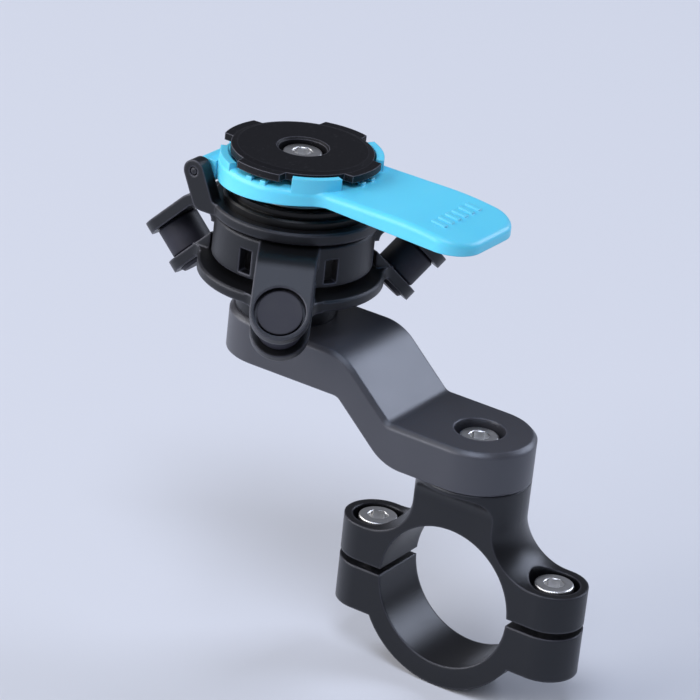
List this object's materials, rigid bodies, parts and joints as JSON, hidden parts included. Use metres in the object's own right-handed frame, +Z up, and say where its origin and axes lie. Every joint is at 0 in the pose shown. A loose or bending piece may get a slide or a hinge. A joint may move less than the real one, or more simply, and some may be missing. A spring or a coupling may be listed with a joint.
{
  "type": "bike phone mount",
  "caption": "Handlebar phone mount: split bar clamp, S-shaped offset arm, vibration damper on rubber bushings and a twist-lock head with a blue thumb lever.",
  "frame": {"origin": "on the bar's axis, at the middle of the clamp's width", "axes": "+Y along the bar, +Z up along the pillar, +X towards the rider; the arm runs to -X"},
  "size_m": [0.1167, 0.0654, 0.1064],
  "materials": {
    "clamp_metal": "satin black anodised aluminium",
    "arm_metal": "fine bead-blasted black anodised aluminium",
    "frame_metal": "satin black anodised aluminium",
    "screw_steel": "bright stainless steel",
    "bushing_rubber": "smooth black rubber",
    "hub_plastic": "glossy black plastic",
    "spring_steel": "plain spring steel wire",
    "lever_plastic": "semi-gloss sky-blue plastic",
    "disc_plastic": "matte black filled plastic"
  },
  "bodies": {
    "clamp": {"upper_clamp": "clamp_metal", "lower_clamp": "clamp_metal", "clamp_bolts": "screw_steel", "arm_bolt": "screw_steel"},
    "swing_arm": {"arm": "arm_metal"},
    "damper_foot": {"damper_base": "frame_metal", "base_bolt": "screw_steel", "bushing_front": "bushing_rubber", "bushing_left": "bushing_rubber", "bushing_right": "bushing_rubber"},
    "damper_head": {"damper_top": "frame_metal", "top_plate": "frame_metal", "head_base": "hub_plastic", "hinge_pin": "screw_steel", "lever_spring": "spring_steel", "lock_disc": "disc_plastic", "head_screw": "screw_steel"},
    "lever": {"release_lever": "lever_plastic"}
  },
  "joints": [
    {"name": "arm_swivel", "type": "hinge", "parent": "clamp", "child": "swing_arm", "pos_m": [0, 0, 0.0274], "axis": [0, 0, 1], "continuous": true},
    {"name": "head_swivel", "type": "hinge", "parent": "swing_arm", "child": "damper_foot", "pos_m": [-0.0507, 0, 0.0486], "axis": [0, 0, 1], "continuous": true},
    {"name": "damper_bounce", "type": "slide", "parent": "damper_foot", "child": "damper_head", "axis": [0, 0, 1], "range_m": [-0.001, 0.001], "stiffness_N_per_m": 3800, "springref_m": 0.00015, "deforming": ["bushing_front", "bushing_left", "bushing_right"]},
    {"name": "lever_press", "type": "hinge", "parent": "damper_head", "child": "lever", "pos_m": [-0.0681, 0, 0.0785], "axis": [0, 1, 0], "range_deg": [0, 4.5], "stiffness_Nm_per_rad": 0.9, "springref_deg": -6.88, "deforming": ["lever_spring"]}
  ]
}
